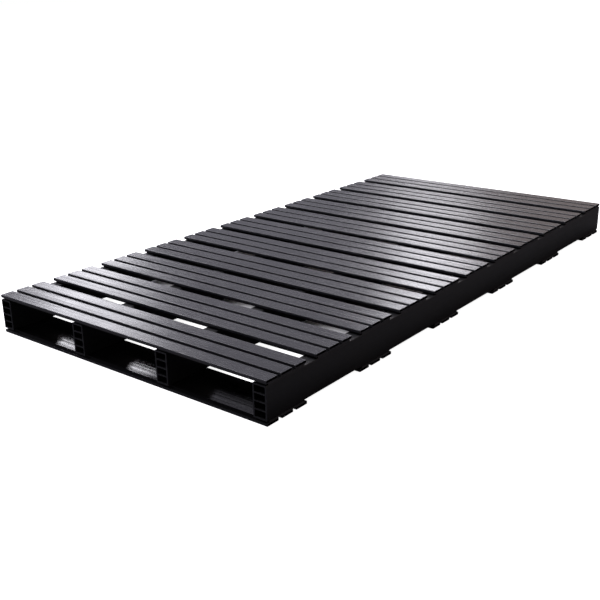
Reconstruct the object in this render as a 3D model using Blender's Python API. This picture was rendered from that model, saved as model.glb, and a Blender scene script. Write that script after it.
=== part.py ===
"""Plastic pallet assembled from extruded profiles.

Eleven deck boards lie across four long stringers, and six more boards of the same
profile run under them.  Every board crosses every stringer, and a screw hole in a board
groove marks each crossing.

Frame: the origin is the centre of the footprint, on the floor.  X runs along the
pallet's length, Y across its width, Z up.  All sizes are in metres.
"""
import math

import bmesh
import bpy
from mathutils import Matrix, Vector

# Overall sizes
LENGTH = 2.438
WIDTH = 1.219
HEIGHT = 0.140

# Board profile: hollow lands on a narrower solid base
LAND_COUNT = 3
LAND_WIDTH = 0.050
LAND_HEIGHT = 0.0095
LAND_WALL = 0.0018
LAND_CORNER_RADIUS = 0.0012
GROOVE_WIDTH = 0.015
GROOVE_DEPTH = 0.0105
BASE_THICKNESS = 0.0065
BASE_INSET = 0.010

# Decks
TOP_BOARD_COUNT = 11
BOTTOM_BOARD_STEP = 2

# Stringer profile: a tall rectangular tube with a stack of cells
STRINGER_COUNT = 4
STRINGER_WIDTH = 0.050
STRINGER_CORNER_RADIUS = 0.002
SIDE_WALL = 0.005
FLANGE = 0.005
RIB = 0.004
CELL_COUNT = 4

# Screw holes, one at each crossing of a board and a stringer
SCREW_HOLE_DIAMETER = 0.0054
HOLE_SIDES = 8

# Air left between pieces that touch or fit into each other
GAP = 0.0003

# How finely the meshes are made
CORNER_STEPS = 2
WELD_DISTANCE = 1e-5
CUTTER_OVERSHOOT = 0.002

# Sizes that follow from the ones above
BOARD_WIDTH = LAND_COUNT * LAND_WIDTH + (LAND_COUNT - 1) * GROOVE_WIDTH
BOARD_THICKNESS = BASE_THICKNESS + LAND_HEIGHT
GROOVE_FLOOR = BOARD_THICKNESS - GROOVE_DEPTH
BOARD_PITCH = (LENGTH - BOARD_WIDTH) / (TOP_BOARD_COUNT - 1)
FIRST_BOARD_X = -(LENGTH - BOARD_WIDTH) / 2
STRINGER_HEIGHT = HEIGHT - 2 * BOARD_THICKNESS - 2 * GAP
STRINGER_SPACING = (WIDTH - STRINGER_WIDTH) / (STRINGER_COUNT - 1)
CELL_HEIGHT = (STRINGER_HEIGHT - 2 * FLANGE - (CELL_COUNT - 1) * RIB) / CELL_COUNT

STRINGER_NAMES = (
    "stringer_right_outer",
    "stringer_right_inner",
    "stringer_left_inner",
    "stringer_left_outer",
)


def clear_scene():
    """Remove every object that the file opened with."""
    for obj in list(bpy.data.objects):
        bpy.data.objects.remove(obj, do_unlink=True)


def make_collection(name):
    """Return a new collection linked to the scene."""
    collection = bpy.data.collections.new(name)
    bpy.context.scene.collection.children.link(collection)
    return collection


def make_material(name, colour, roughness):
    """Return a Principled material of one colour."""
    material = bpy.data.materials.new(name)
    material.use_nodes = True
    shader = material.node_tree.nodes["Principled BSDF"]
    shader.inputs["Base Color"].default_value = (*colour, 1.0)
    shader.inputs["Roughness"].default_value = roughness
    shader.inputs["Metallic"].default_value = 0.0
    material.diffuse_color = (*colour, 1.0)
    return material


def link_object(name, mesh, collection, material=None):
    """Return a new object that shows the mesh."""
    obj = bpy.data.objects.new(name, mesh)
    collection.objects.link(obj)
    if material is not None and not mesh.materials:
        mesh.materials.append(material)
    return obj


def hide_cutter(obj):
    """Show a cutter as a wire and keep it out of renders."""
    obj.display_type = "WIRE"
    obj.hide_render = True


# ---------------------------------------------------------------- outlines

def rounded_outline(corners):
    """Turn (x, y, radius) right-angled corners into points, with arcs where radius > 0."""
    points = []
    for index, (x, y, radius) in enumerate(corners):
        corner = Vector((x, y))
        if radius == 0:
            points.append(corner)
            continue
        before = Vector(corners[index - 1][:2])
        after = Vector(corners[(index + 1) % len(corners)][:2])
        back = (before - corner).normalized()
        ahead = (after - corner).normalized()
        centre = corner + radius * (back + ahead)
        for step in range(CORNER_STEPS + 1):
            angle = math.pi / 2 * step / CORNER_STEPS
            points.append(centre - radius * (ahead * math.cos(angle) + back * math.sin(angle)))
    return points


def rectangle(x_low, x_high, y_low, y_high, radius=0.0):
    """Return the four corners of a rectangle, anticlockwise."""
    return [
        (x_low, y_low, radius),
        (x_high, y_low, radius),
        (x_high, y_high, radius),
        (x_low, y_high, radius),
    ]


def land_spans():
    """Return the low and high edge of each land across the board, from its middle."""
    pitch = LAND_WIDTH + GROOVE_WIDTH
    first = -BOARD_WIDTH / 2
    return [(first + k * pitch, first + k * pitch + LAND_WIDTH) for k in range(LAND_COUNT)]


def groove_centres():
    """Return the middle of each groove across the board, from the board's middle."""
    spans = land_spans()
    return [(spans[k][1] + spans[k + 1][0]) / 2 for k in range(LAND_COUNT - 1)]


def board_outline():
    """Outer outline of a board, lands upwards, with the base's underside at zero."""
    half = BOARD_WIDTH / 2
    half_base = half - BASE_INSET
    corners = [
        (-half_base, BASE_THICKNESS, 0.0),
        (-half_base, 0.0, 0.0),
        (half_base, 0.0, 0.0),
        (half_base, BASE_THICKNESS, 0.0),
    ]
    for low, high in reversed(land_spans()):
        right_foot = BASE_THICKNESS if high > half_base else GROOVE_FLOOR
        left_foot = BASE_THICKNESS if low < -half_base else GROOVE_FLOOR
        corners.append((high, right_foot, 0.0))
        corners.append((high, BOARD_THICKNESS, LAND_CORNER_RADIUS))
        corners.append((low, BOARD_THICKNESS, LAND_CORNER_RADIUS))
        corners.append((low, left_foot, 0.0))
    return corners


def board_cells():
    """Outlines of the open cells that run through the lands."""
    floor = BASE_THICKNESS + LAND_WALL
    ceiling = BOARD_THICKNESS - LAND_WALL
    return [rectangle(low + LAND_WALL, high - LAND_WALL, floor, ceiling)
            for low, high in land_spans()]


def stringer_outline():
    """Outer outline of a stringer, standing on zero."""
    half = STRINGER_WIDTH / 2
    return rectangle(-half, half, 0.0, STRINGER_HEIGHT, STRINGER_CORNER_RADIUS)


def stringer_cells():
    """Outlines of the stacked cells of a stringer."""
    half = STRINGER_WIDTH / 2 - SIDE_WALL
    cells = []
    for k in range(CELL_COUNT):
        floor = FLANGE + k * (CELL_HEIGHT + RIB)
        cells.append(rectangle(-half, half, floor, floor + CELL_HEIGHT))
    return cells


# ---------------------------------------------------------------- solids

def extrude_profile(name, outlines, length, turn):
    """Extrude outlines (the first one outside, the rest holes) and turn the result."""
    curve = bpy.data.curves.new(name, "CURVE")
    curve.dimensions = "2D"
    curve.fill_mode = "BOTH"
    curve.extrude = length / 2
    for outline in outlines:
        points = rounded_outline(outline)
        spline = curve.splines.new("POLY")
        spline.points.add(len(points) - 1)
        for spline_point, point in zip(spline.points, points):
            spline_point.co = (point.x, point.y, 0.0, 1.0)
        spline.use_cyclic_u = True
    flat = bpy.data.objects.new(name, curve)
    bpy.context.scene.collection.objects.link(flat)
    depsgraph = bpy.context.evaluated_depsgraph_get()
    mesh = bpy.data.meshes.new_from_object(flat.evaluated_get(depsgraph))
    bpy.data.objects.remove(flat, do_unlink=True)
    bm = bmesh.new()
    bm.from_mesh(mesh)
    bmesh.ops.remove_doubles(bm, verts=bm.verts, dist=WELD_DISTANCE)
    bmesh.ops.transform(bm, matrix=turn, verts=bm.verts)
    bmesh.ops.recalc_face_normals(bm, faces=bm.faces)
    bm.to_mesh(mesh)
    bm.free()
    mesh.name = name
    return mesh


def cylinders_mesh(name, places, diameter, length):
    """One mesh of upright cylinders, each centred on one of the places."""
    bm = bmesh.new()
    for place in places:
        bmesh.ops.create_cone(
            bm,
            cap_ends=True,
            segments=HOLE_SIDES,
            radius1=diameter / 2,
            radius2=diameter / 2,
            depth=length,
            matrix=Matrix.Translation(place),
        )
    mesh = bpy.data.meshes.new(name)
    bm.to_mesh(mesh)
    bm.free()
    return mesh


def cut_holes(name, mesh, places, length, cutters):
    """Return the mesh with an upright screw hole through it at each place."""
    cutter_mesh = cylinders_mesh(name + "_hole_cutter", places, SCREW_HOLE_DIAMETER, length)
    cutter = link_object(name + "_hole_cutter", cutter_mesh, cutters)
    hide_cutter(cutter)
    blank = link_object(name + "_blank", mesh, cutters)
    modifier = blank.modifiers.new("screw_holes", "BOOLEAN")
    modifier.operation = "DIFFERENCE"
    modifier.solver = "EXACT"
    modifier.object = cutter
    depsgraph = bpy.context.evaluated_depsgraph_get()
    result = bpy.data.meshes.new_from_object(blank.evaluated_get(depsgraph))
    result.name = name
    bpy.data.objects.remove(blank, do_unlink=True)
    return result


# ---------------------------------------------------------------- places

def stringer_y(index):
    """Return the middle of a stringer across the pallet, counted from the right side."""
    return (index - (STRINGER_COUNT - 1) / 2) * STRINGER_SPACING


def top_board_place(index):
    """World matrix of a top board: lands up, base on the stringers."""
    x = FIRST_BOARD_X + index * BOARD_PITCH
    return Matrix.Translation((x, 0.0, HEIGHT - BOARD_THICKNESS))


def bottom_board_place(index):
    """World matrix of a bottom board: turned over, so its lands stand on the floor."""
    x = FIRST_BOARD_X + index * BOTTOM_BOARD_STEP * BOARD_PITCH
    return Matrix.Translation((x, 0.0, BOARD_THICKNESS)) @ Matrix.Rotation(math.pi, 4, "X")


def board_screw_points():
    """Middles of a board's screw holes in its own frame, changing groove at each stringer."""
    grooves = groove_centres()
    return [Vector((grooves[k % len(grooves)], stringer_y(k), GROOVE_FLOOR / 2))
            for k in range(STRINGER_COUNT)]


def screw_points(places):
    """Middles of the screw holes of all the boards at these places."""
    return [place @ point for place in places for point in board_screw_points()]


# ---------------------------------------------------------------- sub-parts

def make_board_mesh(cutters):
    """The deck board that both decks use, lands up, with its screw holes."""
    lengthways = Matrix.Rotation(math.pi / 2, 4, "X")
    solid = extrude_profile("board", [board_outline(), *board_cells()], WIDTH, lengthways)
    depth = GROOVE_FLOOR + CUTTER_OVERSHOOT
    return cut_holes("board", solid, board_screw_points(), depth, cutters)


def make_stringer_mesh(index, screw_axes, cutters):
    """A stringer along X standing on zero, drilled where the decks' screws enter it."""
    along_x = Matrix(((0, 0, 1, 0), (1, 0, 0, 0), (0, 1, 0, 0), (0, 0, 0, 1)))
    name = STRINGER_NAMES[index]
    solid = extrude_profile(name, [stringer_outline(), *stringer_cells()], LENGTH, along_x)
    half = STRINGER_WIDTH / 2
    own_axes = [axis for axis in screw_axes if abs(axis.y - stringer_y(index)) < half]
    holes = []
    for axis in own_axes:
        top = axis.z > HEIGHT / 2
        flange_middle = STRINGER_HEIGHT - FLANGE / 2 if top else FLANGE / 2
        holes.append(Vector((axis.x, 0.0, flange_middle)))
    return cut_holes(name, solid, holes, FLANGE + CUTTER_OVERSHOOT, cutters)


def main():
    """Build the pallet."""
    clear_scene()
    pallet = make_collection("plastic_pallet")
    cutters = make_collection("cutters")

    board_plastic = make_material("black_board_plastic", (0.021, 0.021, 0.023), 0.38)
    stringer_plastic = make_material("black_stringer_plastic", (0.018, 0.018, 0.020), 0.45)

    top_places = [top_board_place(k) for k in range(TOP_BOARD_COUNT)]
    bottom_count = (TOP_BOARD_COUNT - 1) // BOTTOM_BOARD_STEP + 1
    bottom_places = [bottom_board_place(k) for k in range(bottom_count)]

    board_mesh = make_board_mesh(cutters)
    for k, place in enumerate(top_places):
        board = link_object(f"top_board_{k + 1:02d}", board_mesh, pallet, board_plastic)
        board.matrix_world = place
    for k, place in enumerate(bottom_places):
        board = link_object(f"bottom_board_{k + 1}", board_mesh, pallet, board_plastic)
        board.matrix_world = place

    screw_axes = screw_points(top_places + bottom_places)
    for k in range(STRINGER_COUNT):
        mesh = make_stringer_mesh(k, screw_axes, cutters)
        stringer = link_object(STRINGER_NAMES[k], mesh, pallet, stringer_plastic)
        stringer.location = (0.0, stringer_y(k), BOARD_THICKNESS + GAP)


main()
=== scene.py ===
"""Looks of a black pallet assembled from extruded plastic profiles.

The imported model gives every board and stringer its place.  This script replaces each of
them with a finer copy, adds the screws, and sets the materials, the lights and the camera.
Lengths are in metres.
"""
import math

import bmesh
import bpy
from mathutils import Matrix, Vector


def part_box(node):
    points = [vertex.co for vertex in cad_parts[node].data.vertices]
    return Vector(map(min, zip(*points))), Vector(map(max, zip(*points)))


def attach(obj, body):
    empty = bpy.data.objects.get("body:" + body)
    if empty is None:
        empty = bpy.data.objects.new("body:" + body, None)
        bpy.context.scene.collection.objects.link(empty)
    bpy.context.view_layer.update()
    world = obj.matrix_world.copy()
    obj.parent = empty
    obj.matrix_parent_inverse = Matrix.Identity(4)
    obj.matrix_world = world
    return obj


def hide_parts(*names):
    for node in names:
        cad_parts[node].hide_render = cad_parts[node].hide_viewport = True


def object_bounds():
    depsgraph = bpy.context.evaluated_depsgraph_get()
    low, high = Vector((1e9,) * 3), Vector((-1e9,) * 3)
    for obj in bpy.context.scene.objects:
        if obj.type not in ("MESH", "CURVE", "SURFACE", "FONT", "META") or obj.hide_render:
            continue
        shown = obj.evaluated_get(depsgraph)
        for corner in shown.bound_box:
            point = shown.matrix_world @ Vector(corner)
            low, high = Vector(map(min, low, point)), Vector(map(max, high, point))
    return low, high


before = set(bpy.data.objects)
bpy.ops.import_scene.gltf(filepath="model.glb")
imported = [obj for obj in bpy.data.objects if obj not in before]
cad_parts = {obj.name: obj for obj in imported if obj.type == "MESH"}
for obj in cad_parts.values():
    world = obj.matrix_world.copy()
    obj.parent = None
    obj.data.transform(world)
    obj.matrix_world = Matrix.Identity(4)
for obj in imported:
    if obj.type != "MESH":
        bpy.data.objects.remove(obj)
cad_low, cad_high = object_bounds()

TOP_BOARDS = sorted(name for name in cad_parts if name.startswith("top_board"))
BOTTOM_BOARDS = sorted(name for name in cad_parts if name.startswith("bottom_board"))
# From the right side of the pallet to the left
STRINGERS = sorted(
    (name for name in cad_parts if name.startswith("stringer")),
    key=lambda name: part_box(name)[0].y)

MM = 0.001
TOLERANCE = 1e-5

# Board profile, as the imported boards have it
LAND_COUNT = 3
LAND_WIDTH = 0.050
LAND_HEIGHT = 0.0095
LAND_WALL = 0.0018
LAND_CORNER = 0.0012
GROOVE_WIDTH = 0.015
GROOVE_DEPTH = 0.0105
BASE_INSET = 0.010
# A land's top is a hair hollow inside this margin, from shrinking over its open cell
LAND_MARGIN = 0.005
LAND_SINK = 0.00012

# Stringer profile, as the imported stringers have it, and the radius inside its cells
SIDE_WALL = 0.005
FLANGE = 0.005
RIB = 0.004
CELL_COUNT = 4
STRINGER_CORNER = 0.002
CELL_CORNER = 0.0015

# Pan-head screws, one at each crossing of a board and a stringer
HEAD_RADIUS = 0.0050
HEAD_HEIGHT = 0.0030
SHANK_RADIUS = 0.0024
SHANK_LENGTH = 0.0210
RECESS_RADIUS = 0.0020
RECESS_DEPTH = 0.0014
SEAT_GAP = 0.0003
SCREW_STEPS = 12

# How finely the profiles are rounded, and how they are told apart from their cut ends
CORNER_SEGMENTS = 3
CELL_SEGMENTS = 2
SQUARE_CORNER = math.radians(57)
SMOOTH_ANGLE = math.radians(28)
CUT_FACING = 0.9

# Wear that a surface carries: 1 on a land's rim, then a stringer's rim, then the tops of
# lands and the faces of stringers, and 0 on what nothing touches.  On the boards the 0 also
# marks the grooves, sides and undersides that take a darker colour as painted shade.
STRINGER_RIM_WEAR = 0.7
TOP_WEAR = 0.4

# Finishes.  Nearly all of a noise pattern lies between the two noise values.
NOISE_LOW = 0.3
NOISE_HIGH = 0.7
NOISE_ROUGHNESS = 0.55
POLYETHYLENE_IOR = 1.51
LINE_GLOSS = 0.06
CLOUD_GLOSS = 0.03
WORN_DULLNESS = 0.15

# Floor: how bright the lens sees it, and the colour it shows in the plastic's gloss
FLOOR_SIZE = 40.0
FLOOR_GAP = 0.0005
FLOOR_GLOW = 0.95
FLOOR_BOUNCE = "#66666a"

# Surround: the horizontal directions to the back and to the right, and its weakest part
TO_BACK = (0.77, 0.64, 0.0)
TO_RIGHT = (0.64, -0.77, 0.0)
FRONT_LIGHT = 0.28

# Softboxes: name, compass and height angle in degrees, distance, width, height, watts
SOFTBOXES = (
    ("left_rear_softbox", 57.8, 23.0, 12.0, 1.60, 2.9, 88.0),
    ("right_rear_softbox", 28.3, 23.4, 12.0, 1.35, 2.8, 80.0),
    ("overhead_softbox", 110.0, 62.0, 5.0, 3.0, 3.0, 280.0),
)
COOL_LIGHT = (0.95, 0.94, 1.0)

# Camera: lens and sensor in millimetres, roll in degrees
LENS = 53.91
SENSOR = 36.0
CAMERA_PLACE = (-2.898, -2.0705, 1.175)
CAMERA_TARGET = (-0.5022, -0.163, 0.070)
CAMERA_ROLL = -1.08


# ---------------------------------------------------------------- nodes and colours

def linear(hex_colour):
    """Turn an sRGB hex colour into linear red, green, blue and alpha."""
    channels = [int(hex_colour[k:k + 2], 16) / 255 for k in (1, 3, 5)]
    curve = [c / 12.92 if c <= 0.04045 else ((c + 0.055) / 1.055) ** 2.4 for c in channels]
    return (*curve, 1.0)


def add_node(tree, kind, inputs=None, **settings):
    """Add a node with its settings; an input takes a value, a socket or another node."""
    made = tree.nodes.new(kind)
    for name, value in settings.items():
        setattr(made, name, value)
    for socket, value in (inputs or {}).items():
        if isinstance(value, bpy.types.Node):
            value = next(output for output in value.outputs if output.enabled)
        if isinstance(value, bpy.types.NodeSocket):
            tree.links.new(value, made.inputs[socket])
        else:
            made.inputs[socket].default_value = value
    return made


def new_material(name):
    """Return a material and its empty node tree."""
    material = bpy.data.materials.new(name)
    material.use_nodes = True
    material.node_tree.nodes.clear()
    return material, material.node_tree


# ---------------------------------------------------------------- materials

def extruded_skin(name, along, scuff_grain, shades, smooth, handled, specular):
    """Black polyethylene pulled through a die and cooled in water: a satin, lined skin.

    The die's lips leave fine lines along the profile, which break the gloss into streaks
    along the length.  Uneven cooling leaves slow clouds.  Loads make the tops duller and
    the rims paler, and leave a few scuffs.

    along is the axis that the profile was pulled along, and scuff_grain the size of its
    scuffs.  shades are the fresh, handled and worn colours; where the fresh colour is darker
    than the handled one, it paints shade into the grooves and sides.  smooth and handled are
    the roughness where nothing touches and where loads do.
    """
    fresh_and_shade_hex, handled_hex, worn_hex = shades
    material, tree = new_material(name)
    place = add_node(tree, "ShaderNodeTexCoord")
    # For each pattern: its grain in millimetres across the profile, along it and upright,
    # its detail, and a shift that keeps the patterns from lining up
    patterns = {
        # Lip scratches lie under 1 mm apart, too fine to show, so they are drawn 3.5 mm
        # apart.  They run on for about a metre before they fade.
        "lines": ((3.5, 1100.0, 3.5), 3.0, (0.0, 0.0, 0.0)),
        # Behind the die's cores the melt closes again, in low bands about 14 mm wide
        "bands": ((14.0, 2500.0, 14.0), 1.0, (3.0, 7.0, 1.0)),
        # Cooling clouds a little wider than a board
        "clouds": ((220.0, 220.0, 220.0), 3.0, (5.0, 1.0, 2.0)),
        # Scrapes of crates and forks: about 2 mm wide and 30 to 60 mm long
        "scuffs": (scuff_grain, 2.0, (11.0, 2.0, 9.0)),
        # The hand-sized places where the scrapes gather
        "patches": ((120.0, 160.0, 120.0), 2.0, (2.0, 13.0, 4.0)),
    }
    noise = {}
    for pattern, ((across, lengthwise, upright), detail, shift) in patterns.items():
        grain = (across, lengthwise, upright) if along == "Y" else (lengthwise, across, upright)
        mapping = add_node(tree, "ShaderNodeMapping", {
            "Vector": place.outputs["Object"],
            "Location": shift,
            "Scale": tuple(1.0 / (MM * size) for size in grain),
        })
        noise[pattern] = add_node(tree, "ShaderNodeTexNoise", {
            "Vector": mapping,
            "Scale": 1.0,
            "Detail": detail,
            "Roughness": NOISE_ROUGHNESS,
        })

    # Wear: paler rims, broken up by the bands, and scuffs inside the patches
    wear = add_node(tree, "ShaderNodeAttribute", attribute_name="wear").outputs["Fac"]
    scrape = add_node(tree, "ShaderNodeMapRange", {
        "Value": noise["scuffs"], "From Min": 0.62, "From Max": 0.74, "To Max": 0.8})
    patch = add_node(tree, "ShaderNodeMapRange", {
        "Value": noise["patches"], "From Min": 0.50, "From Max": 0.66})
    scuffed = add_node(tree, "ShaderNodeMath", {0: scrape, 1: patch}, operation="MULTIPLY")
    rim = add_node(tree, "ShaderNodeMapRange", {
        "Value": wear, "From Min": TOP_WEAR, "From Max": 1.0, "To Max": 0.45})
    rub = add_node(tree, "ShaderNodeMapRange", {
        "Value": noise["bands"], "From Min": 0.30, "From Max": 0.62, "To Min": 0.3})
    rubbed = add_node(tree, "ShaderNodeMath", {0: rim, 1: rub}, operation="MULTIPLY")
    worn = add_node(tree, "ShaderNodeMath", {0: rubbed, 1: scuffed}, operation="MAXIMUM")

    # Colour: the darker fresh colour where nothing touches, which on the boards is painted
    # shade in the grooves and sides; streaks and clouds grey the handled tops
    streak = add_node(tree, "ShaderNodeMapRange", {
        "Value": noise["lines"], "From Min": NOISE_LOW, "From Max": NOISE_HIGH,
        "To Min": -0.45, "To Max": 0.45})
    cloud = add_node(tree, "ShaderNodeMapRange", {
        "Value": noise["clouds"], "From Min": NOISE_LOW, "From Max": NOISE_HIGH})
    tone = add_node(tree, "ShaderNodeMath", {0: streak, 1: cloud}, operation="ADD")
    drift = add_node(tree, "ShaderNodeMapRange", {
        "Value": tone, "From Min": -0.4, "From Max": 1.4, "To Max": 0.45})
    greyed = add_node(tree, "ShaderNodeMix", {
        "Factor": drift, 6: linear(handled_hex), 7: linear(worn_hex)}, data_type="RGBA")
    # Tops keep the lighter handled grey, partly real wear; the rest of a board takes the darker
    # fresh colour as painted shade
    handled_or_painted_shade = add_node(tree, "ShaderNodeMapRange", {"Value": wear, "From Max": TOP_WEAR})
    tinted_with_painted_shade = add_node(tree, "ShaderNodeMix", {
        "Factor": handled_or_painted_shade, 6: linear(fresh_and_shade_hex), 7: greyed}, data_type="RGBA")
    colour = add_node(tree, "ShaderNodeMix", {
        "Factor": worn, 6: tinted_with_painted_shade, 7: linear(worn_hex)}, data_type="RGBA")

    # Gloss: duller where handled, and uneven along the lines and in the clouds
    gloss = add_node(tree, "ShaderNodeMapRange", {
        "Value": wear, "From Max": TOP_WEAR, "To Min": smooth, "To Max": handled})
    for pattern, swing in (("lines", LINE_GLOSS), ("clouds", CLOUD_GLOSS)):
        uneven = add_node(tree, "ShaderNodeMapRange", {
            "Value": noise[pattern], "From Min": NOISE_LOW, "From Max": NOISE_HIGH,
            "To Min": -swing, "To Max": swing})
        gloss = add_node(tree, "ShaderNodeMath", {0: gloss, 1: uneven}, operation="ADD")
    dulled = add_node(tree, "ShaderNodeMath", {
        0: worn, 1: WORN_DULLNESS, 2: gloss}, operation="MULTIPLY_ADD")

    # Relief: the bands stand twice as proud as the lines
    relief = add_node(tree, "ShaderNodeMath", {
        0: noise["bands"], 1: 2.0, 2: noise["lines"]}, operation="MULTIPLY_ADD")
    bump = add_node(tree, "ShaderNodeBump", {
        "Strength": 0.25, "Distance": 0.8 * MM, "Height": relief})
    shader = add_node(tree, "ShaderNodeBsdfPrincipled", {
        "Base Color": colour,
        "Roughness": dulled,
        "IOR": POLYETHYLENE_IOR,
        "Specular IOR Level": specular,
        "Normal": bump,
    })
    add_node(tree, "ShaderNodeOutputMaterial", {"Surface": shader})
    return material


def saw_cut():
    """Black polyethylene cut across by a saw: matt and greyer than the skin.

    A tooth drags a mark about every 0.5 mm, too fine to show, so the marks are drawn 2 mm
    apart and 10 mm long.
    """
    material, tree = new_material("saw_cut_black_polyethylene")
    place = add_node(tree, "ShaderNodeTexCoord")
    mapping = add_node(tree, "ShaderNodeMapping", {
        "Vector": place.outputs["Object"],
        "Scale": (1.0 / (2 * MM), 1.0 / (2 * MM), 1.0 / (10 * MM)),
    })
    teeth = add_node(tree, "ShaderNodeTexNoise", {
        "Vector": mapping, "Scale": 1.0, "Detail": 2.0, "Roughness": NOISE_ROUGHNESS})
    shade = add_node(tree, "ShaderNodeMapRange", {
        "Value": teeth, "From Min": NOISE_LOW, "From Max": NOISE_HIGH})
    colour = add_node(tree, "ShaderNodeMix", {
        "Factor": shade, 6: linear("#1d1d1f"), 7: linear("#3e3e42")}, data_type="RGBA")
    bump = add_node(tree, "ShaderNodeBump", {
        "Strength": 0.4, "Distance": 0.3 * MM, "Height": teeth})
    shader = add_node(tree, "ShaderNodeBsdfPrincipled", {
        "Base Color": colour,
        "Roughness": 0.72,
        "IOR": POLYETHYLENE_IOR,
        "Specular IOR Level": 0.35,
        "Normal": bump,
    })
    add_node(tree, "ShaderNodeOutputMaterial", {"Surface": shader})
    return material


def blackened_steel():
    """Screw steel from a black phosphate bath: a dark, grainy, softly metallic coat.

    The crystals are under 0.1 mm, too fine to show, so the grain is drawn 1.2 mm wide.
    """
    material, tree = new_material("black_phosphated_steel")
    place = add_node(tree, "ShaderNodeTexCoord")
    grain = add_node(tree, "ShaderNodeTexNoise", {
        "Vector": place.outputs["Object"],
        "Scale": 1.0 / (1.2 * MM),
        "Detail": 2.0,
        "Roughness": NOISE_ROUGHNESS,
    })
    shade = add_node(tree, "ShaderNodeMapRange", {
        "Value": grain, "From Min": 0.35, "From Max": 0.65})
    colour = add_node(tree, "ShaderNodeMix", {
        "Factor": shade, 6: linear("#1a1a1b"), 7: linear("#3a3937")}, data_type="RGBA")
    roughness = add_node(tree, "ShaderNodeMapRange", {
        "Value": grain, "From Min": NOISE_LOW, "From Max": NOISE_HIGH,
        "To Min": 0.42, "To Max": 0.60})
    shader = add_node(tree, "ShaderNodeBsdfPrincipled", {
        "Base Color": colour, "Roughness": roughness, "Metallic": 0.85})
    add_node(tree, "ShaderNodeOutputMaterial", {"Surface": shader})
    return material


# ---------------------------------------------------------------- shaping tools

def add_loop(bm, points):
    """Add a closed loop of edges through the points."""
    verts = [bm.verts.new(point) for point in points]
    return [bm.edges.new((verts[k - 1], verts[k])) for k in range(len(verts))]


def extrude_section(loops, travel):
    """Fill loops (the first outside, the rest holes) and extrude the section by travel."""
    bm = bmesh.new()
    edges = [edge for points in loops for edge in add_loop(bm, points)]
    bmesh.ops.triangle_fill(bm, use_beauty=True, edges=edges)
    made = bmesh.ops.extrude_face_region(bm, geom=bm.faces[:])
    moved = [item for item in made["geom"] if isinstance(item, bmesh.types.BMVert)]
    bmesh.ops.translate(bm, vec=travel, verts=moved)
    bmesh.ops.recalc_face_normals(bm, faces=bm.faces)
    return bm


def round_edges(bm, edges, radius, segments=CORNER_SEGMENTS):
    """Round the edges and return the new faces."""
    made = bmesh.ops.bevel(
        bm,
        geom=edges,
        offset=radius,
        offset_type="OFFSET",
        affect="EDGES",
        segments=segments,
        profile=0.5,
        material=-1,
        clamp_overlap=True,
    )
    return made["faces"]


def finish_piece(name, bm, materials, node=None):
    """Turn a bmesh into a piece that rides on the pallet, in place of a CAD node if named."""
    mesh = bpy.data.meshes.new(name)
    bm.to_mesh(mesh)
    bm.free()
    for material in materials:
        mesh.materials.append(material)
    mesh.shade_smooth()
    mesh.set_sharp_from_angle(angle=SMOOTH_ANGLE)
    piece = bpy.data.objects.new(name, mesh)
    bpy.context.scene.collection.objects.link(piece)
    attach(piece, "root")
    if node is not None:
        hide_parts(node)
    return piece


# ---------------------------------------------------------------- boards

def land_edges():
    """Low and high edge of each land, from the middle of the board."""
    width = LAND_COUNT * LAND_WIDTH + (LAND_COUNT - 1) * GROOVE_WIDTH
    pitch = LAND_WIDTH + GROOVE_WIDTH
    return [(k * pitch - width / 2, k * pitch - width / 2 + LAND_WIDTH)
            for k in range(LAND_COUNT)]


def board_section(thickness):
    """Outline and cells of a board across its width, lands up: points (across, height)."""
    half = land_edges()[-1][1]
    foot = half - BASE_INSET
    shoulder = thickness - LAND_HEIGHT
    groove_floor = thickness - GROOVE_DEPTH
    outline = [(-foot, shoulder), (-foot, 0.0), (foot, 0.0), (foot, shoulder)]
    for low, high in reversed(land_edges()):
        outline.append((high, shoulder if high == half else groove_floor))
        outline.append((high, thickness))
        outline.append((low, thickness))
        outline.append((low, shoulder if low == -half else groove_floor))
    floor = shoulder + LAND_WALL
    ceiling = thickness - LAND_WALL
    cells = []
    for low, high in land_edges():
        left = low + LAND_WALL
        right = high - LAND_WALL
        cells.append([(left, floor), (right, floor), (right, ceiling), (left, ceiling)])
    return [outline, *cells]


def make_board(node, skin, cut, upward):
    """A deck board with rounded rims.  upward is 1 for lands up and -1 for lands down."""
    low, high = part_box(node)
    middle = (low.x + high.x) / 2
    thickness = high.z - low.z
    seat = low.z if upward == 1 else high.z
    loops = [[(middle + x, low.y, seat + upward * z) for x, z in loop]
             for loop in board_section(thickness)]
    bm = extrude_section(loops, (0.0, high.y - low.y, 0.0))
    crown = seat + upward * thickness

    def on_crown(vert):
        return abs(vert.co.z - crown) < TOLERANCE

    long_edges = [edge for edge in bm.edges
                  if all(on_crown(v) for v in edge.verts)
                  and edge.calc_face_angle(0.0) > SQUARE_CORNER
                  and abs(edge.verts[0].co.x - edge.verts[1].co.x) < TOLERANCE]
    round_edges(bm, long_edges, LAND_CORNER)
    wear = bm.verts.layers.float.new("wear")
    for vert in bm.verts:
        if upward * (vert.co.z - crown) > -LAND_CORNER - TOLERANCE:
            vert[wear] = 1.0
    tops = [face for face in bm.faces
            if abs(face.normal.z) > 0.99 and all(on_crown(v) for v in face.verts)]
    bmesh.ops.inset_individual(bm, faces=tops, thickness=LAND_MARGIN, depth=-LAND_SINK)
    for face in tops:
        for vert in face.verts:
            vert[wear] = TOP_WEAR
    for face in bm.faces:
        face.material_index = 1 if abs(face.normal.y) > CUT_FACING else 0
    piece = finish_piece(node + "_skin", bm, [skin, cut], node)
    return piece


# ---------------------------------------------------------------- stringers

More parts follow.
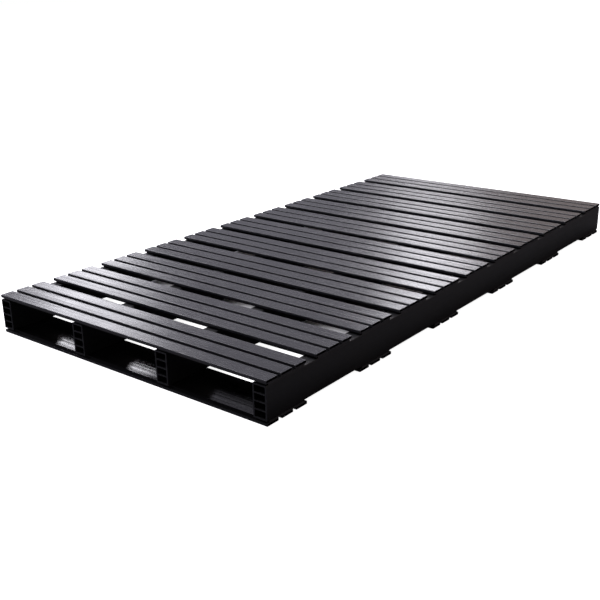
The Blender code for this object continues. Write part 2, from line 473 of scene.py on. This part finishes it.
def make_stringer(node, skin, cut):
    """A stringer: a tall tube with a stack of cells, open at both ends."""
    low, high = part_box(node)
    cell_height = (high.z - low.z - 2 * FLANGE - (CELL_COUNT - 1) * RIB) / CELL_COUNT
    outline = [(low.y, low.z), (high.y, low.z), (high.y, high.z), (low.y, high.z)]
    loops = [outline]
    for k in range(CELL_COUNT):
        floor = low.z + FLANGE + k * (cell_height + RIB)
        ceiling = floor + cell_height
        left = low.y + SIDE_WALL
        right = high.y - SIDE_WALL
        loops.append([(left, floor), (right, floor), (right, ceiling), (left, ceiling)])
    placed = [[(low.x, y, z) for y, z in loop] for loop in loops]
    bm = extrude_section(placed, (high.x - low.x, 0.0, 0.0))
    outside = []
    inside = []
    for edge in bm.edges:
        along_x = abs(edge.verts[0].co.x - edge.verts[1].co.x) > TOLERANCE
        if not along_x or edge.calc_face_angle(0.0) < SQUARE_CORNER:
            continue
        y = edge.verts[0].co.y
        if min(y - low.y, high.y - y) < TOLERANCE:
            outside.append(edge)
        else:
            inside.append(edge)
    wear = bm.verts.layers.float.new("wear")
    for vert in bm.verts:
        vert[wear] = TOP_WEAR
    for face in round_edges(bm, outside, STRINGER_CORNER):
        for vert in face.verts:
            vert[wear] = STRINGER_RIM_WEAR
    round_edges(bm, inside, CELL_CORNER, CELL_SEGMENTS)
    for face in bm.faces:
        face.material_index = 1 if abs(face.normal.x) > CUT_FACING else 0
    piece = finish_piece(node + "_skin", bm, [skin, cut], node)
    return piece


# ---------------------------------------------------------------- screws

def screw_profile():
    """Half section of a pan-head screw as (radius, height above its seat)."""
    return [
        (0.0, -SHANK_LENGTH),
        (SHANK_RADIUS * 0.5, -SHANK_LENGTH + 0.0015),
        (SHANK_RADIUS, -SHANK_LENGTH + 0.004),
        (SHANK_RADIUS, 0.0),
        (HEAD_RADIUS, 0.0),
        (HEAD_RADIUS, HEAD_HEIGHT * 0.45),
        (HEAD_RADIUS * 0.86, HEAD_HEIGHT * 0.82),
        (HEAD_RADIUS * 0.60, HEAD_HEIGHT),
        (RECESS_RADIUS, HEAD_HEIGHT),
        (RECESS_RADIUS * 0.7, HEAD_HEIGHT - RECESS_DEPTH),
        (0.0, HEAD_HEIGHT - RECESS_DEPTH),
    ]


def screw_seats(boards, upward):
    """Seats of a deck's screws: one where each board crosses each stringer."""
    grooves = [(low[1] + high[0]) / 2 for low, high in zip(land_edges(), land_edges()[1:])]
    seats = []
    for board in boards:
        low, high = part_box(board)
        crown = high.z if upward == 1 else low.z
        for k, stringer in enumerate(STRINGERS):
            near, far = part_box(stringer)
            order = k if upward == 1 else len(STRINGERS) - 1 - k
            x = (low.x + high.x) / 2 + grooves[order % len(grooves)]
            y = (near.y + far.y) / 2
            seats.append(Vector((x, y, crown - upward * (GROOVE_DEPTH - SEAT_GAP))))
    return seats


def make_screws(name, boards, steel, upward):
    """All the screws of one deck, turned from one profile."""
    bm = bmesh.new()
    for seat in screw_seats(boards, upward):
        verts = [bm.verts.new(seat + Vector((radius, 0.0, upward * height)))
                 for radius, height in screw_profile()]
        edges = [bm.edges.new(pair) for pair in zip(verts, verts[1:])]
        bmesh.ops.spin(
            bm,
            geom=verts + edges,
            cent=seat,
            axis=(0.0, 0.0, 1.0),
            angle=2 * math.pi,
            steps=SCREW_STEPS,
            use_merge=True,
        )
    bmesh.ops.remove_doubles(bm, verts=bm.verts, dist=TOLERANCE)
    bmesh.ops.recalc_face_normals(bm, faces=bm.faces)
    return finish_piece(name, bm, [steel])


# ---------------------------------------------------------------- studio

def add_softbox(name, azimuth, elevation, distance, width, height, power):
    """A rectangular lamp that faces the pallet; the compass angle turns from +X to +Y."""
    lamp = bpy.data.lights.new(name, "AREA")
    lamp.shape = "RECTANGLE"
    lamp.size = width
    lamp.size_y = height
    lamp.energy = power
    lamp.color = COOL_LIGHT
    turn = math.radians(azimuth)
    rise = math.radians(elevation)
    aim = Vector((
        math.cos(turn) * math.cos(rise),
        math.sin(turn) * math.cos(rise),
        math.sin(rise),
    ))
    softbox = bpy.data.objects.new(name, lamp)
    softbox.location = aim * distance
    softbox.rotation_euler = aim.to_track_quat("Z", "Y").to_euler()
    bpy.context.scene.collection.objects.link(softbox)


def make_floor(low, high):
    """A pale floor with a painted shadow under the pallet that stands from low to high.

    It is white to the lens and grey to the plastic's gloss.
    """
    bm = bmesh.new()
    bmesh.ops.create_grid(bm, x_segments=1, y_segments=1, size=FLOOR_SIZE)
    bmesh.ops.translate(bm, vec=(0.0, 0.0, -FLOOR_GAP), verts=bm.verts)
    mesh = bpy.data.meshes.new("floor")
    bm.to_mesh(mesh)
    bm.free()
    floor = bpy.data.objects.new("floor", mesh)
    bpy.context.scene.collection.objects.link(floor)
    material, tree = new_material("pale_studio_floor")
    place = add_node(tree, "ShaderNodeTexCoord")
    axes = add_node(tree, "ShaderNodeSeparateXYZ", {"Vector": place.outputs["Object"]})
    # The painted shadow's four borders: the axis, where it is full and where it has ended.
    # Under the near end and along the right side the floor stays bright.
    painted_shadow_borders = (
        ("Y", low.y + 0.11, low.y + 0.06),
        ("Y", high.y, high.y + 0.05),
        ("X", low.x + 0.56, low.x + 0.48),
        ("X", high.x - 0.10, high.x),
    )
    glow_outside_painted_shadow = 0.0
    for axis, dark, bright in painted_shadow_borders:
        part = add_node(tree, "ShaderNodeMapRange", {
            "Value": axes.outputs[axis], "From Min": dark, "From Max": bright,
            "To Max": FLOOR_GLOW})
        glow_outside_painted_shadow = add_node(
            tree, "ShaderNodeMath", {0: glow_outside_painted_shadow, 1: part}, operation="MAXIMUM")
    # The emission is the floor's brightness, left out under the deck as a painted shadow
    seen = add_node(tree, "ShaderNodeBsdfPrincipled", {
        "Base Color": linear("#f2f2f2"),
        "Roughness": 0.9,
        "Specular IOR Level": 0.0,
        "Emission Color": (1.0, 1.0, 1.0, 1.0),
        "Emission Strength": glow_outside_painted_shadow,
    })
    bounced = add_node(tree, "ShaderNodeBsdfDiffuse", {"Color": linear(FLOOR_BOUNCE)})
    path = add_node(tree, "ShaderNodeLightPath")
    mix = add_node(tree, "ShaderNodeMixShader", {
        0: path.outputs["Is Camera Ray"], 1: bounced, 2: seen})
    add_node(tree, "ShaderNodeOutputMaterial", {"Surface": mix})
    mesh.materials.append(material)


def make_world():
    """A grey studio, lit from behind the pallet; the lens itself sees it white."""
    world = bpy.data.worlds.new("studio")
    bpy.context.scene.world = world
    world.use_nodes = True
    tree = world.node_tree
    tree.nodes.clear()
    place = add_node(tree, "ShaderNodeTexCoord")
    towards_back = add_node(tree, "ShaderNodeVectorMath", {
        0: place.outputs["Generated"], 1: TO_BACK}, operation="DOT_PRODUCT")
    towards_right = add_node(tree, "ShaderNodeVectorMath", {
        0: place.outputs["Generated"], 1: TO_RIGHT}, operation="DOT_PRODUCT")
    # Cool grey, warmer towards the right
    turn = add_node(tree, "ShaderNodeMapRange", {
        "Value": towards_right, "From Min": 0.08, "From Max": 0.30})
    tint = add_node(tree, "ShaderNodeMix", {
        "Factor": turn, 6: linear("#a3a1ac"), 7: linear("#bdb0ad")}, data_type="RGBA")
    # Brighter towards the back, and brighter still higher up
    strength = add_node(tree, "ShaderNodeMapRange", {
        "Value": towards_back, "From Min": -0.3, "From Max": 0.55,
        "To Min": FRONT_LIGHT, "To Max": 1.0})
    axes = add_node(tree, "ShaderNodeSeparateXYZ", {"Vector": place.outputs["Generated"]})
    upper = add_node(tree, "ShaderNodeMapRange", {
        "Value": axes.outputs["Z"], "From Min": 0.30, "From Max": 0.42,
        "To Min": 1.0, "To Max": 1.4})
    brightness = add_node(tree, "ShaderNodeMath", {0: strength, 1: upper}, operation="MULTIPLY")
    surround = add_node(tree, "ShaderNodeBackground", {"Color": tint, "Strength": brightness})
    backdrop = add_node(tree, "ShaderNodeBackground", {"Color": linear("#ffffff")})
    path = add_node(tree, "ShaderNodeLightPath")
    mix = add_node(tree, "ShaderNodeMixShader", {
        0: path.outputs["Is Camera Ray"], 1: surround, 2: backdrop})
    add_node(tree, "ShaderNodeOutputWorld", {"Surface": mix})


def make_camera():
    """A normal lens that looks down along the pallet from its near right corner."""
    camera_data = bpy.data.cameras.new("camera")
    camera_data.lens = LENS
    camera_data.sensor_width = SENSOR
    camera_data.clip_end = 200.0
    camera = bpy.data.objects.new("camera", camera_data)
    camera.location = CAMERA_PLACE
    gaze = Vector(CAMERA_TARGET) - camera.location
    turn = gaze.to_track_quat("-Z", "Y").to_matrix()
    roll = Matrix.Rotation(math.radians(CAMERA_ROLL), 3, "Z")
    camera.rotation_euler = (turn @ roll).to_euler()
    bpy.context.scene.collection.objects.link(camera)
    bpy.context.scene.camera = camera


# ---------------------------------------------------------------- the scene

# The boards' fresh colour, far darker than their handled grey, paints shade into their grooves
# and sides
board_skin = extruded_skin(
    "extruded_black_polyethylene_boards", "Y", (60.0, 2.2, 10.0),
    ("#0b0b0c", "#1c1c1f", "#444448"), 0.09, 0.25, 0.5)
stringer_skin = extruded_skin(
    "extruded_black_polyethylene_stringers", "X", (10.0, 30.0, 2.2),
    ("#0d0d0e", "#0d0d0e", "#262628"), 0.40, 0.42, 0.35)
cut_ends = saw_cut()
steel = blackened_steel()

for board_name in TOP_BOARDS:
    make_board(board_name, board_skin, cut_ends, 1)
for board_name in BOTTOM_BOARDS:
    make_board(board_name, board_skin, cut_ends, -1)
for stringer_name in STRINGERS:
    make_stringer(stringer_name, stringer_skin, cut_ends)
make_screws("top_deck_screws", TOP_BOARDS, steel, 1)
make_screws("bottom_deck_screws", BOTTOM_BOARDS, steel, -1)

make_floor(cad_low, cad_high)
make_world()
for softbox in SOFTBOXES:
    add_softbox(*softbox)
make_camera()
bpy.context.scene.view_settings.view_transform = "Standard"
